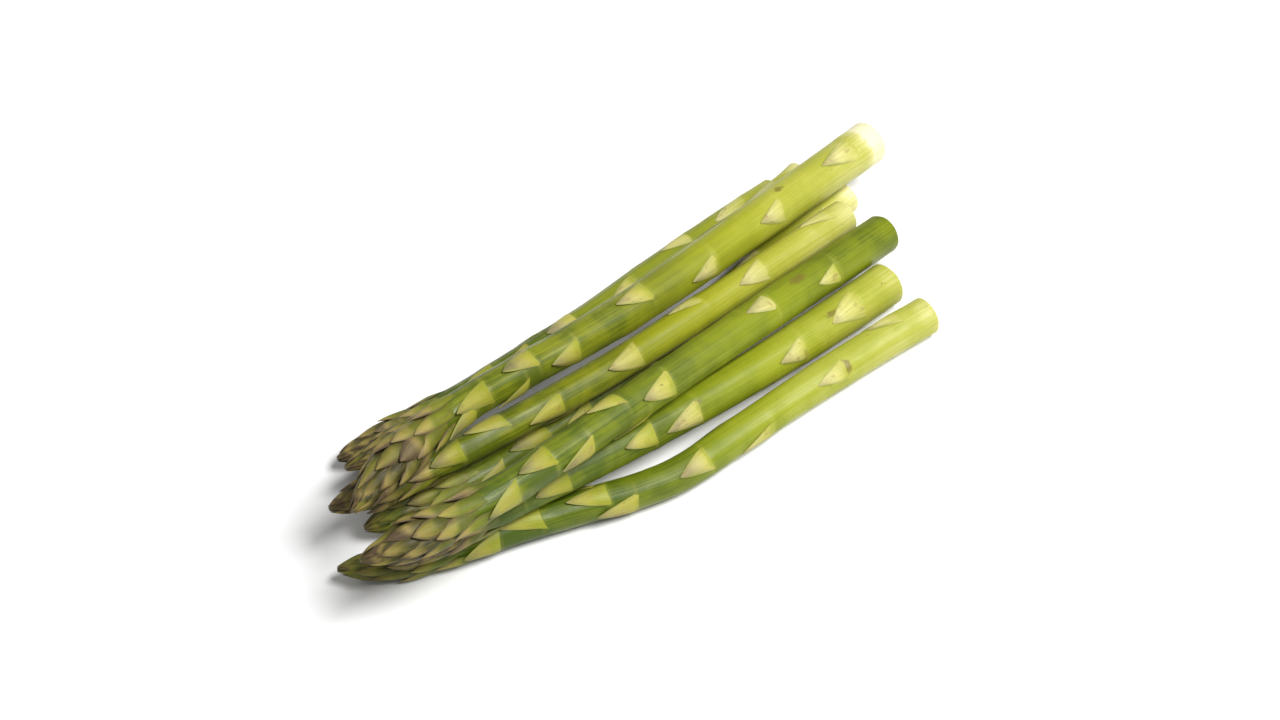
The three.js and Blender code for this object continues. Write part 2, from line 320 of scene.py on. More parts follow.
def leaves_of(spear, dice):
    """Start and angle of every leaf: from the CAD, the extra list and the spiral."""
    bare = spear["neck"] - LEAF_LENGTH - BEFORE_BUD
    found = [cad_leaf(spear, k + 1) for k in range(LEAVES_PER_SPEAR)]
    for share, degrees in EXTRA_LEAVES[spear["number"]]:
        found.append((share * bare, math.radians(degrees)))
    angle = dice.uniform(0, 6)
    for place in np.linspace(0.08, 1.02, SPIRAL_LEAVES) ** 0.8 * bare:
        angle += GOLDEN_ANGLE
        far = FAR_SIDE[0] < math.degrees(angle) % 360 < FAR_SIDE[1]
        turns = [abs(math.remainder(angle - a, math.tau)) for p, a in found
                 if abs(p - place) < NEIGHBOUR_REACH]
        free = min(turns, default=math.tau) > NEIGHBOUR_ANGLE
        if far and free and room_for(spear, place, angle, LEAF_LENGTH) > ROOM_OVER:
            found.append((place, angle))
    return sorted(found)


dice = random.Random(7)
for spear in spears:
    spear["leaves"] = leaves_of(spear, dice)
    print("spear", spear["number"], "has", len(spear["leaves"]), "leaves")

# %% [markdown]
# ## The stem's skin
#
# A stem could be a curve with a round bevel, but a real one isn't a perfect
# tube: it has shallow flutes, it swells a little under every leaf, and a fine
# line runs round it where the leaf grows out. So we lay rings of points along
# the centreline and push each point in or out. The cut end gets its own rings,
# slightly hollow and rough as a knife leaves them.
#
# We also store what the paint needs: "skin" is the point's place on the stem as
# if it were straight, "green" tells how far the pale base has turned green,
# "yellow" how warm that green is, "node_line" and "bruise" where those marks are.

# %% Mesh helpers
RING_SIDES = 64
RING_STEP = 0.8 * MM


def tube_faces(rings, sides):
    """Quads between rings of points, then a fan to the middle point of each end."""
    faces = []
    turn = [(k, (k + 1) % sides) for k in range(sides)]
    for r in range(0, (rings - 1) * sides, sides):
        faces += [(r + a, r + a + sides, r + b + sides, r + b) for a, b in turn]
    end = (rings - 1) * sides
    faces += [(end + sides, a, b) for a, b in turn]
    faces += [(end + sides + 1, end + b, end + a) for a, b in turn]
    return faces


def ring_at(spear, place, angles, radius):
    """Points round the centreline, at one radius or at one for each angle."""
    radial = (np.cos(angles)[:, None] * at(spear, "up", place)
              + np.sin(angles)[:, None] * at(spear, "side", place))
    return at(spear, "line", place) + radial * np.reshape(radius, (-1, 1))


def new_mesh_object(name, points, faces):
    mesh = bpy.data.meshes.new(name)
    mesh.from_pydata([tuple(p) for p in points], [], faces)
    mesh.update()
    mesh.shade_smooth()
    return add_object(name, mesh)


def store(thing, **layers):
    """Keep values for every point: one number each, or three as a vector."""
    for name, values in layers.items():
        values = np.ascontiguousarray(values, np.float32)
        kind, field = (("FLOAT", "value") if values.ndim == 1 else ("FLOAT_VECTOR", "vector"))
        layer = thing.data.attributes.new(name, kind, "POINT")
        layer.data.foreach_set(field, values.ravel())


# For each spear: how far the pale base reaches in mm, how pale it is (below 0 is
# greener than the rest), how yellow the green is and how white the very end is.
PALE_REACH = {1: 115, 2: 95, 3: 50, 4: 60, 5: 45, 6: 100, 7: 65, 8: 110}
PALE_DEPTH = {1: 0.52, 2: 0.46, 3: 0.4, 4: 0.60, 5: 0.5, 6: 0.58, 7: -0.14, 8: 0.58}
YELLOWNESS = {1: 0.15, 2: 0.22, 3: 0.40, 4: 0.55, 5: 0.50, 6: 0.75, 7: 0.26, 8: 0.60}
WHITE_END = {1: 0.1, 2: 0.1, 3: 0.15, 4: 0.25, 5: 0.3, 6: 0.15, 7: 0.0, 8: 0.9}
WHITE_REACH = 6.0 * MM
# A stem away from its head is at most this green; the rest comes near the head,
# where the deeper green is partly the stem's own and partly painted shade.
PLAIN_GREEN = 0.78


def greenness(number, place, neck):
    """0 where the stem is cream, PLAIN_GREEN where green, 1 at the head."""
    reach = np.clip(place / (PALE_REACH[number] * MM), 0, 1)
    fade = reach * reach * (3 - 2 * reach)
    fresh_cut = WHITE_END[number] * np.exp(-(place / WHITE_REACH) ** 2)
    green = np.clip(1 - PALE_DEPTH[number] * (1 - fade) - fresh_cut, 0, 1.3)
    # Darker green towards the head: partly the stem's own colour, partly painted shade.
    near_head = np.clip((place / neck - 0.35) / 0.6, 0, 1)
    return np.minimum(1, PLAIN_GREEN * green + (1 - PLAIN_GREEN) * near_head)


print("skin helpers ready,", RING_SIDES, "sides and a ring every", RING_STEP / MM, "mm")

# %% Stem relief
FLUTE_DEPTH = 0.09 * MM
NODE_SWELL = 0.22 * MM
NODE_LINE = 0.06 * MM
# The swelling fades slowly below a leaf's foot and quickly above it, and the
# line lies just below the foot.
SWELL_BELOW = 3.5 * MM
SWELL_ABOVE = 0.5 * MM
LINE_BELOW = 0.3 * MM
LINE_WIDTH = 0.55 * MM
MARKS_REACH = 12 * MM
CUT_BEVEL = 0.5 * MM
BEVEL_DEPTH = 0.55 * MM
# The stem's skin runs on under the bud, a hair over its core.
UNDER_BUD = 12 * MM
OVER_CORE = 0.05 * MM
CUT_HOLLOW = 0.35 * MM
CUT_ROUGH = 0.05 * MM
CUT_RINGS = (0.08, 0.25, 0.42, 0.58, 0.72, 0.84, 0.93)


def stem_relief(spear, place, angles):
    """How far the skin stands out from a plain round stem, and the node lines."""
    phase = spear["number"] * 1.7
    out = FLUTE_DEPTH * (0.6 * np.cos(5 * angles + phase + 9 * place)
                         + 0.4 * np.cos(8 * angles - phase + 14 * place))
    out = out + FLUTE_DEPTH * math.sin(place * 160 + phase) * 0.5
    line = np.zeros_like(angles)
    for start, turn in spear["leaves"]:
        away = place - start
        if abs(away) > MARKS_REACH:
            continue
        round_to_leaf = np.abs(np.remainder(angles - turn + math.pi, math.tau) - math.pi)
        near = np.clip(1.45 - round_to_leaf / 1.2, 0, 1)
        reach = SWELL_BELOW if away < 0 else SWELL_ABOVE
        out = out + NODE_SWELL * math.exp(-(away / reach) ** 2) * near
        ridge = math.exp(-((away + LINE_BELOW) / LINE_WIDTH) ** 2)
        out = out - NODE_LINE * ridge * near
        line = np.maximum(line, ridge * near)
    return out, line


def stem_rings(spear):
    """Rings from the cut's edge to under the bud, their skin places and node lines."""
    angles = np.arange(RING_SIDES) / RING_SIDES * math.tau
    places = np.concatenate([
        [0, 0.12 * MM, 0.3 * MM, CUT_BEVEL],
        np.arange(CUT_BEVEL + RING_STEP, spear["neck"] + UNDER_BUD, RING_STEP)])
    rings, skins, lines = [], [], []
    for place in places:
        out, line = stem_relief(spear, place, angles)
        bevel = BEVEL_DEPTH * (1 - math.sqrt(min(1, place / CUT_BEVEL)))
        if place > spear["neck"] - 1 * MM:
            plain = core_radius(spear, np.array([place]))[0] + OVER_CORE
        else:
            plain = at(spear, "radius", place)
        radius = plain + out - bevel
        rings.append(ring_at(spear, place, angles, radius))
        skins.append(np.stack([np.cos(angles) * radius, np.sin(angles) * radius,
                               np.full(RING_SIDES, place)], -1))
        lines.append(line)
    return np.array(rings), np.array(skins), np.array(lines)


def cut_rings(spear, rim, dice):
    """Rings from the middle of the cut end out to its rim, slightly hollow."""
    centre = rim.mean(0)
    rings, skins = [], []
    for share in CUT_RINGS:
        hollow = CUT_HOLLOW * (1 - share ** 2)
        rough = np.array([dice.uniform(-1, 1) * CUT_ROUGH for _ in range(RING_SIDES)])
        flat = (rim - centre) * share
        rings.append(centre + flat + np.outer(hollow + rough, spear["forward"][0]))
        skins.append(np.stack([flat @ spear["up"][0], flat @ spear["side"][0],
                               np.full(RING_SIDES, 0.0)], -1))
    return np.array(rings), np.array(skins)


print("flutes", FLUTE_DEPTH / MM, "mm deep, swelling under a leaf", NODE_SWELL / MM, "mm")

# %% [markdown]
# ## Where the stem goes under its bud
#
# The bud's scales need something to sit on, so the stem runs on under them as a
# slimmer core. Its radius is the bud's outside less the room the scales take,
# and it closes to a point a little before the tip.

# %% Core radius under a bud
BUD_SINK = 2.0 * MM
# The core leaves the skin over the first length and comes back over the second.
SINK_OVER = 11 * MM
RISE_OVER = 8 * MM
POINT_OVER = 3 * MM
WIDEST_CORE = 8 * MM
THINNEST_CORE = 0.2 * MM


def core_radius(spear, places):
    outer = np.array([at(spear, "radius", place) for place in places])
    grow = np.clip((places - spear["neck"]) / SINK_OVER, 0, 1)
    end = np.clip((spear["length"] - places) / RISE_OVER, 0, 1) ** 0.6
    sink = BUD_SINK * (0.08 + 0.92 * grow) * end
    point = np.clip((spear["length"] - places) / POINT_OVER, 0.03, 1)
    return np.minimum(np.maximum(outer - sink, THINNEST_CORE), WIDEST_CORE * point)


for spear in spears:
    halfway = np.array([(spear["neck"] + spear["length"]) / 2])
    print("core", spear["number"], "halfway", round(core_radius(spear, halfway)[0] / MM, 1), "mm")

# %% Build the eight stems
# Bruises: spear, place along it in mm, angle from the top in degrees, and half
# the length and half the width in mm.
BRUISES = [
    (7, 41, 4, 3.2, 1.2), (7, 118, -20, 1.6, 0.8), (8, 42, -6, 1.6, 1.0),
    (8, 92, 168, 2.6, 1.1), (2, 26, 16, 2.4, 0.9), (2, 78, 30, 1.2, 0.7),
    (1, 34, 40, 1.5, 2.3), (1, 36, 62, 1.1, 1.2), (6, 60, -118, 1.8, 0.9),
    (3, 62, -60, 2.0, 1.0), (5, 84, -96, 1.6, 0.9), (4, 70, -150, 1.7, 0.8)]


def bruise_marks(spear, skins):
    """How bruised each point of the skin is, from 0 to 1."""
    turn = np.arctan2(skins[..., 1], skins[..., 0])
    radius = np.hypot(skins[..., 0], skins[..., 1])
    marks = np.zeros(turn.shape)
    for number, place, angle, half_long, half_wide in BRUISES:
        if number != spear["number"]:
            continue
        round_to = np.remainder(turn - math.radians(angle) + math.pi, math.tau) - math.pi
        away = ((skins[..., 2] / MM - place) / half_long) ** 2
        away = away + (round_to * radius / MM / half_wide) ** 2
        marks = np.maximum(marks, np.exp(-0.7 * away))
    return marks


def build_stem(spear, dice):
    rings, skins, lines = stem_rings(spear)
    cut, cut_skins = cut_rings(spear, rings[0], dice)
    all_rings = np.vstack([cut, rings])
    faces = tube_faces(len(all_rings), RING_SIDES)
    points = np.vstack([all_rings.reshape(-1, 3), [cut[0].mean(0), rings[-1].mean(0)]])
    points[:, 2] = np.maximum(points[:, 2], 0)
    thing = new_mesh_object(f"stem_{spear['number']}", points, faces)
    skin = np.vstack([cut_skins.reshape(-1, 3), skins.reshape(-1, 3),
                      [[0, 0, 0], [0, 0, len(rings) * RING_STEP]]])
    cut_points = len(cut) * RING_SIDES
    store(thing, skin=skin, bruise=bruise_marks(spear, skin),
          node_line=np.concatenate([np.zeros(cut_points), lines.ravel(), [0, 0]]),
          green=greenness(spear["number"], skin[:, 2], spear["neck"]),
          yellow=np.full(len(skin), YELLOWNESS[spear["number"]]))
    # The first rings and the first fan are the cut face: they get the second slot.
    second_slot = np.zeros(len(faces), np.int32)
    second_slot[:cut_points] = 1
    second_slot[-2 * RING_SIDES:-RING_SIDES] = 1
    thing.data.polygons.foreach_set("material_index", second_slot)
    return thing


dice = random.Random(11)
stems = [build_stem(spear, dice) for spear in spears]
print(len(stems), "stems,", len(BRUISES), "bruises")

# %% [markdown]
# ## One leaf shape and one scale shape
#
# Leaves and head scales repeat many times, so each kind is drawn once as a flat
# tile: x runs across it from -1 to 1, y from its base at 0 to its point at 1,
# and z is its height over the skin. Later each copy is stretched and wrapped
# round its stem. The tile is a closed shell with few faces.

# %% Tiles
# The point under a tile where its closed underside comes together.
SUNK_PLACE = 0.35
SUNK_DEPTH = -0.6
# Where a bud scale is widest, from foot to tip.
WIDEST = 0.45


def make_tile(name, columns, rows, outline, crown, sweep):
    """A thin closed shell: a grid above, and a fan to one sunk point below."""
    points, uv = [], []
    for v in np.linspace(0, 1, rows + 1):
        for u in np.linspace(-1, 1, columns + 1):
            y = v - sweep * abs(u) ** 2.5 * (1 - v) ** 3
            points.append((u * outline(v), y, crown(u, v)))
            uv.append(((u + 1) / 2, v))
    wide = columns + 1
    faces = [(a, a + 1, a + wide + 1, a + wide)
             for r in range(rows) for a in range(r * wide, r * wide + columns)]
    rim = (list(range(columns)) + [r * wide + columns for r in range(rows)]
           + [rows * wide + c for c in range(columns, 0, -1)]
           + [r * wide for r in range(rows, 0, -1)])
    sunk = len(points)
    points.append((0, SUNK_PLACE, SUNK_DEPTH))
    uv.append((0.5, SUNK_PLACE))
    faces += [(b, a, sunk) for a, b in zip(rim, rim[1:] + rim[:1])]
    tile = new_mesh_object(name, points, faces)
    layer = tile.data.uv_layers.new(name="UVMap")
    for loop in tile.data.loops:
        layer.data[loop.index].uv = uv[loop.vertex_index]
    tile.hide_render = True
    return tile


def leaf_outline(v):
    """Widest at the foot, where two small ears stand out, then gently rounded."""
    ears = 0.07 * max(0, 1 - v / 0.14)
    return max(0.03, (1 - v) ** 0.74 * (1 - 0.05 * v) + ears)


def leaf_crown(u, v):
    """Half its height at the foot, a rounded back, lower towards the point."""
    foot = min(1, 0.5 + v / 0.3)
    return 0.25 * foot + 0.75 * foot * (1 - 0.4 * v) * (1 - abs(u) ** 1.7)


def scale_outline(v):
    if v < WIDEST:
        return 0.75 + 0.25 * math.sin(v / WIDEST * math.pi / 2)
    return max(0.03, 1 - ((v - WIDEST) / (1 - WIDEST)) ** 1.7)


def scale_crown(u, v):
    """A bulging back that starts at nothing, so no step shows at the foot."""
    dome = 0.06 + 0.94 * (1 - abs(u) ** 1.5) * (1 - 0.85 * v ** 3)
    return dome * min(1, 0.05 + v / 0.35)


leaf_tile = make_tile("leaf_tile", 8, 7, leaf_outline, leaf_crown, 0.10)
scale_tile = make_tile("scale_tile", 6, 6, scale_outline, scale_crown, 0.05)
print("leaf tile", len(leaf_tile.data.polygons), "faces, scale tile",
      len(scale_tile.data.polygons), "faces")

# %% [markdown]
# ## Small helpers for node trees
#
# Both the wrapping tree and the materials are built node by node. This class
# adds a node, links or sets its inputs, and gives back the outputs, so a formula
# reads almost like ordinary code.

# %% Node helpers
class Nodes:
    """Adds nodes to one tree. A method gives back what the new node puts out."""

    def __init__(self, tree):
        self.tree = tree

    def feed(self, socket, value):
        """Link a socket, or set a plain value."""
        if isinstance(value, bpy.types.NodeSocket):
            self.tree.links.new(value, socket)
        else:
            socket.default_value = value

    def node(self, kind, inputs=(), **settings):
        """A new node's outputs; its inputs are fed by name, or in order."""
        made = self.tree.nodes.new(kind)
        for key, value in settings.items():
            setattr(made, key, value)
        for key, value in (inputs.items() if isinstance(inputs, dict) else enumerate(inputs)):
            self.feed(made.inputs[key], value)
        return made.outputs

    def sockets(self, direction, **kinds):
        """Name the group's own inputs or outputs, such as Place="Vector"."""
        for name, kind in kinds.items():
            self.tree.interface.new_socket(name, in_out=direction,
                                           socket_type="NodeSocket" + kind)

    def maths(self, operation, *values):
        return self.node("ShaderNodeMath", values, operation=operation)[0]

    def plus(self, a, b):
        return self.maths("ADD", a, b)

    def minus(self, a, b):
        return self.maths("SUBTRACT", a, b)

    def times(self, a, b):
        return self.maths("MULTIPLY", a, b)

    def vector(self, operation, *values):
        out = self.node("ShaderNodeVectorMath", values, operation=operation)
        return out["Value" if operation == "LENGTH" else "Vector"]

    def scaled(self, vector, amount):
        return self.node("ShaderNodeVectorMath", {0: vector, "Scale": amount},
                         operation="SCALE")["Vector"]

    def separate(self, vector):
        return self.node("ShaderNodeSeparateXYZ", [vector])

    def combine(self, *parts):
        return self.node("ShaderNodeCombineXYZ", parts)[0]


print("node helpers ready")

# %% [markdown]
# ## Wrapping tiles round a stem
#
# Dozens of leaves and scales follow the same rule, which is a job for Geometry
# Nodes: put a tile on every point of a small mesh, make the copies real, and
# bend each one round the spear. Each point carries where its tile starts, how
# far round it sits, its length, its width as an angle, how far its tip leans
# aside and lifts, and how plump it is. The centreline is a curve whose radius is
# the skin's.

# %% The wrap_scales tree
LEAN_POWER = 2
RISE_POWER = 1.4


def build_wrap_tree():
    n = Nodes(bpy.data.node_groups.new("wrap_scales", "GeometryNodeTree"))
    n.sockets("INPUT", Geometry="Geometry", Tile="Object", Axis="Object", Core="Object",
              Thickness="Float", Material="Material")
    n.sockets("OUTPUT", Geometry="Geometry")
    given = n.node("NodeGroupInput")

    def shape(name):
        return n.node("GeometryNodeObjectInfo", {"Object": given[name]})["Geometry"]

    def field(name):
        return n.node("GeometryNodeInputNamedAttribute", {"Name": name},
                      data_type="FLOAT")["Attribute"]

    copies = n.node("GeometryNodeInstanceOnPoints",
                    {"Points": given["Geometry"], "Instance": shape("Tile")})
    real = n.node("GeometryNodeRealizeInstances", [copies[0]])
    across, along, height = n.separate(n.node("GeometryNodeInputPosition")[0])
    ahead = n.maths("MAXIMUM", along, 0)
    place = n.maths("MULTIPLY_ADD", along, field("long"), field("start"))
    leaning = n.maths("MULTIPLY_ADD", n.maths("POWER", ahead, LEAN_POWER),
                      field("lean"), field("turn"))
    turned = n.minus(leaning, n.times(across, field("wide")))
    sample = n.node("GeometryNodeSampleCurve", {
        "Curves": shape("Axis"), "Value": n.node("GeometryNodeInputRadius")[0],
        "Length": place}, mode="LENGTH")
    forward = sample["Tangent"]
    side = n.vector("NORMALIZE", n.vector("CROSS_PRODUCT", (0, 0, 1), forward))
    up = n.vector("CROSS_PRODUCT", forward, side)
    radial = n.vector("ADD", n.scaled(up, n.maths("COSINE", turned)),
                      n.scaled(side, n.maths("SINE", turned)))
    lifted = n.times(n.maths("POWER", ahead, RISE_POWER), field("rise"))
    plump = n.times(field("plump"), given["Thickness"])
    out = n.plus(sample["Value"], n.maths("MULTIPLY_ADD", height, plump, lifted))
    wrapped = n.vector("ADD", sample["Position"], n.scaled(radial, out))
    # Nothing goes below the table at z = 0.
    bend = n.node("GeometryNodeSetPosition", {
        "Geometry": real[0], "Position": n.vector("MAXIMUM", (-9, -9, 0), wrapped)})
    painted = n.node("GeometryNodeSetMaterial", {
        "Geometry": bend[0], "Material": given["Material"]})
    # A join takes both of its links through one input.
    joined = n.node("GeometryNodeJoinGeometry", [shape("Core")])
    n.feed(joined[0].node.inputs[0], painted[0])
    n.node("NodeGroupOutput", [joined[0]])
    return n.tree


wrap_tree = build_wrap_tree()
print("wrap_scales has", len(wrap_tree.nodes), "nodes")

# %% Run the tree for one spear
def axis_curve(name, line, radius):
    """The centreline as a curve whose radius is the skin's."""
    data = bpy.data.curves.new(name, "CURVE")
    data.dimensions = "3D"
    spline = data.splines.new("POLY")
    spline.points.add(len(line) - 1)
    for point, spot, width in zip(spline.points, line, radius):
        point.co = (*spot, 1)
        point.radius = width
    return add_object(name, data)


POINT_VALUES = ("start", "turn", "long", "wide", "lean", "rise", "plump", "tone", "age",
                "green", "yellow")
SHARP_ANGLE = math.radians(55)


def wrap(name, rows, tile, axis, core, thickness, material):
    """Tiles wrapped round a spear as one plain mesh. Each row holds POINT_VALUES."""
    seeds = new_mesh_object(name, [(0, 0, 0)] * len(rows), [])
    store(seeds, **dict(zip(POINT_VALUES, zip(*rows))))
    modifier = seeds.modifiers.new("wrap", "NODES")
    modifier.node_group = wrap_tree
    values = {"Tile": tile, "Axis": axis, "Core": core, "Thickness": thickness,
              "Material": material}
    for item in wrap_tree.interface.items_tree:
        if item.name in values and values[item.name] is not None:
            modifier[item.identifier] = values[item.name]
    ready = seeds.evaluated_get(bpy.context.evaluated_depsgraph_get())
    mesh = bpy.data.meshes.new_from_object(ready)
    bpy.data.objects.remove(seeds)
    mesh.shade_smooth()
    mesh.set_sharp_from_angle(angle=SHARP_ANGLE)
    return add_object(name, mesh)


def inside_volume(mesh):
    """Signed volume in cubic millimetres: positive when faces point outwards."""
    mesh.calc_loop_triangles()
    points = np.array([v.co for v in mesh.vertices])
    tri = points[np.array([list(t.vertices) for t in mesh.loop_triangles])]
    return (np.cross(tri[:, 0], tri[:, 1]) * tri[:, 2]).sum() / 6 / MM ** 3


def report(thing):
    print(thing.name, len(thing.data.polygons), "faces, volume",
          round(inside_volume(thing.data)), "mm3")


for stem in stems:
    report(stem)

# %% [markdown]
# ## A grain that every green part shares
#
# Stems, leaves and scales all have the same fine lengthwise fibres and a few
# brown specks, only finer or coarser. So the grain is one shader group with
# named inputs. It takes a place on the skin where z runs along the plant, and
# gives back streaks, specks, soft clouds of colour and a height for the bump.

# %% Shader helpers and the plant_grain group
CLOUD_SCALE = 95.0
SPECK_SCALE = 620.0


def ink(code):
    """A colour written as rrggbb, made linear for the shader."""
    parts = [int(code[k:k + 2], 16) / 255 for k in (0, 2, 4)]
    return tuple(c / 12.92 if c <= 0.04045 else ((c + 0.055) / 1.055) ** 2.4
                 for c in parts) + (1.0,)


class Shades(Nodes):
    """The same for shader trees, with the tools that the finishes share."""

    def noise(self, vector, scale, detail=2.0):
        return self.node("ShaderNodeTexNoise",
                         {"Vector": vector, "Scale": scale, "Detail": detail})[0]

    def spread(self, value, low, high, to_low=0.0, to_high=1.0):
        """Take a range of a value to another range, softly and clamped."""
        return self.node("ShaderNodeMapRange", (value, low, high, to_low, to_high),
                         interpolation_type="SMOOTHSTEP")["Result"]

    def swing(self, value, amount):
        """A value from 0 to 1 as a swing of that size about nothing."""
        return self.times(self.minus(value, 0.5), amount)

    def blend(self, share, first, second):
        """A share of the second colour over the first."""
        return self.node("ShaderNodeMix", {0: share, 6: first, 7: second},
                         data_type="RGBA")[2]

    def ramp(self, value, stops):
        made = self.tree.nodes.new("ShaderNodeValToRGB")
        self.feed(made.inputs["Fac"], value)
        while len(made.color_ramp.elements) < len(stops):
            made.color_ramp.elements.new(0.5)
        for element, (place, code) in zip(made.color_ramp.elements, stops):
            element.position = place
            element.color = ink(code)
        return made.outputs["Color"]

    def painted(self, name, output="Fac"):
        """An attribute stored on the mesh."""
        return self.node("ShaderNodeAttribute", attribute_name=name)[output]

    def grain(self, place, fineness, length, specks):
        return self.node("ShaderNodeGroup", node_tree=plant_grain, inputs={
            "Place": place, "Fineness": fineness, "Length": length, "Specks": specks})

    def dress(self, shader, values):
        """Set or link the shader's inputs by name."""
        for name, value in values.items():
            self.feed(shader.inputs[name], value)

    def bump(self, shader, height, distance):
        self.feed(shader.inputs["Normal"], self.node("ShaderNodeBump", {
            "Strength": 1.0, "Distance": distance, "Height": height})["Normal"])


def build_plant_grain():
    n = Shades(bpy.data.node_groups.new("plant_grain", "ShaderNodeTree"))
    n.sockets("INPUT", Place="Vector", Fineness="Float", Length="Float", Specks="Float")
    n.sockets("OUTPUT", Streaks="Float", Specks="Float", Clouds="Float", Height="Float")
    given = n.node("NodeGroupInput")
    x, y, z = n.separate(given["Place"])
    drawn = n.combine(n.times(x, given["Fineness"]), n.times(y, given["Fineness"]),
                      n.maths("DIVIDE", z, given["Length"]))
    # Broad fibres with finer ones between them.
    fibres = n.plus(n.times(n.noise(drawn, 1.0, 3.0), 0.65),
                    n.times(n.noise(drawn, 3.1, 2.0), 0.35))
    clouds = n.noise(given["Place"], CLOUD_SCALE, 3.0)
    dots = n.noise(given["Place"], SPECK_SCALE, 1.0)
    edge = n.minus(0.80, n.times(given["Specks"], 0.16))
    n.node("NodeGroupOutput", {
        "Streaks": n.spread(fibres, 0.34, 0.66), "Clouds": n.spread(clouds, 0.32, 0.68),
        "Specks": n.spread(n.minus(dots, edge), 0.0, 0.03), "Height": fibres})
    return n.tree


def new_material(name):
    made = bpy.data.materials.new(name)
    made.use_nodes = True
    return made, Shades(made.node_tree), made.node_tree.nodes["Principled BSDF"]


plant_grain = build_plant_grain()
print("plant_grain has", len(plant_grain.nodes), "nodes")

# %% [markdown]
# ## Stem skin and cut face
#
# The skin goes from cream at the cut end through yellow-green to a strong leaf
# green, streaked lengthwise. A thin wax bloom makes it half glossy, and light
# goes a little way in, so it gets a weak subsurface. The cut face is pale, damp
# pulp with a darker rim and scattered dots where the vessels were cut through.

# %% Stem materials
STEM_RAMP = [(0.00, "e6e2bc"), (0.16, "c9c580"), (0.36, "a8aa48"), (0.58, "8b9420"),
             (0.78, "6f7e14"), (1.0, "3c5006")]
PULP_RAMP = [(0.0, "e9e8c6"), (0.55, "dde2a6"), (0.80, "c3d07a"), (0.97, "9db24a")]
CUT_RADIUS = 6 * MM
VESSELS = 850


def stem_colour(n, signs):
    """The stem's colour from its stored green and yellow, with streaks and clouds."""
    marks = n.plus(n.swing(signs["Streaks"], 0.10), n.swing(signs["Clouds"], 0.12))
    green = n.plus(n.painted("green"), marks)
    # The yellow comes in with the green, and goes again in the deep green.
    tint = n.times(n.spread(green, 0.1, 0.7, 0.12, 0.45), n.spread(green, 0.86, 1.0, 1.0, 0.35))
    return n.blend(n.times(n.painted("yellow"), tint), n.ramp(green, STEM_RAMP), ink("aaa028"))


def build_stem_skin():
    made, n, shader = new_material("stem_skin")
    place = n.painted("skin", "Vector")
    signs = n.grain(place, 1700.0, 0.045, 0.35)
    lined = n.blend(n.times(n.painted("node_line"), 0.18), stem_colour(n, signs), ink("c6c25c"))
    ragged = n.plus(n.swing(n.noise(place, 900.0), 0.9), n.painted("bruise"))
    bruised = n.blend(n.spread(ragged, 0.30, 0.75, 0.0, 0.72), lined, ink("6a5a26"))
    specked = n.blend(n.times(signs["Specks"], 0.5), bruised, ink("7d6a35"))
    n.dress(shader, {
        "Base Color": specked, "Roughness": n.spread(signs["Clouds"], 0, 1, 0.36, 0.50),
        "Specular IOR Level": 0.28, "Subsurface Weight": 0.12,
        "Subsurface Radius": (0.6, 1.0, 0.25), "Subsurface Scale": 1.2 * MM})
    n.bump(shader, signs["Height"], 0.14 * MM)
    return made


def build_cut_flesh():
    made, n, shader = new_material("cut_flesh")
    x, y, _ = n.separate(n.painted("skin", "Vector"))
    flat = n.combine(x, y)
    from_middle = n.maths("DIVIDE", n.vector("LENGTH", flat), CUT_RADIUS)
    cells = n.node("ShaderNodeTexVoronoi", {"Vector": flat, "Scale": VESSELS}, feature="F1")
    vessel = n.spread(cells["Distance"], 0.16, 0.30, 1.0, 0.0)
    dotted = n.blend(n.times(vessel, 0.55), n.ramp(from_middle, PULP_RAMP), ink("b3b268"))
    n.dress(shader, {
        "Base Color": dotted, "Roughness": 0.55, "Subsurface Weight": 0.2,
        "Subsurface Radius": (1.0, 1.0, 0.5), "Subsurface Scale": 1.5 * MM})
    n.bump(shader, n.minus(n.noise(flat, 900.0), vessel), 0.12 * MM)
    return made


stem_skin = build_stem_skin()
cut_flesh = build_cut_flesh()
for stem in stems:
    stem.data.materials.append(stem_skin)
    stem.data.materials.append(cut_flesh)
print("stem materials:", stem_skin.name, cut_flesh.name)

# %% [markdown]
# ## Leaf and bud-scale finishes
#
# Low on a stem the leaves are thin and waxy, close to the skin in colour. Nearer
# the head they are yellow-green at the foot and dry to tan and grey towards the
# point, with a fine dark rim of painted shade. Bud scales are olive with tan backs
# and purple-brown edges, deepened by painted shade where the scales meet, and
# a dark painted shade lies at the foot, where the scale below covers it. So the
# colour follows each tile's own UV map, v from foot to point and u across, and the
# stored "age" blends one look into the other. Each copy gets its own tone, so that
# no two are alike.

# %% Leaf and scale materials
TILE_WIDTH = 8 * MM
TILE_LENGTH = 12 * MM
# Painted shade: a thin dark line along the sides of each leaf and scale.
RIM_SHADE_INK = "3f3124"
BRUISE_INK = "8b7440"
SPECK_INK = "6b5630"


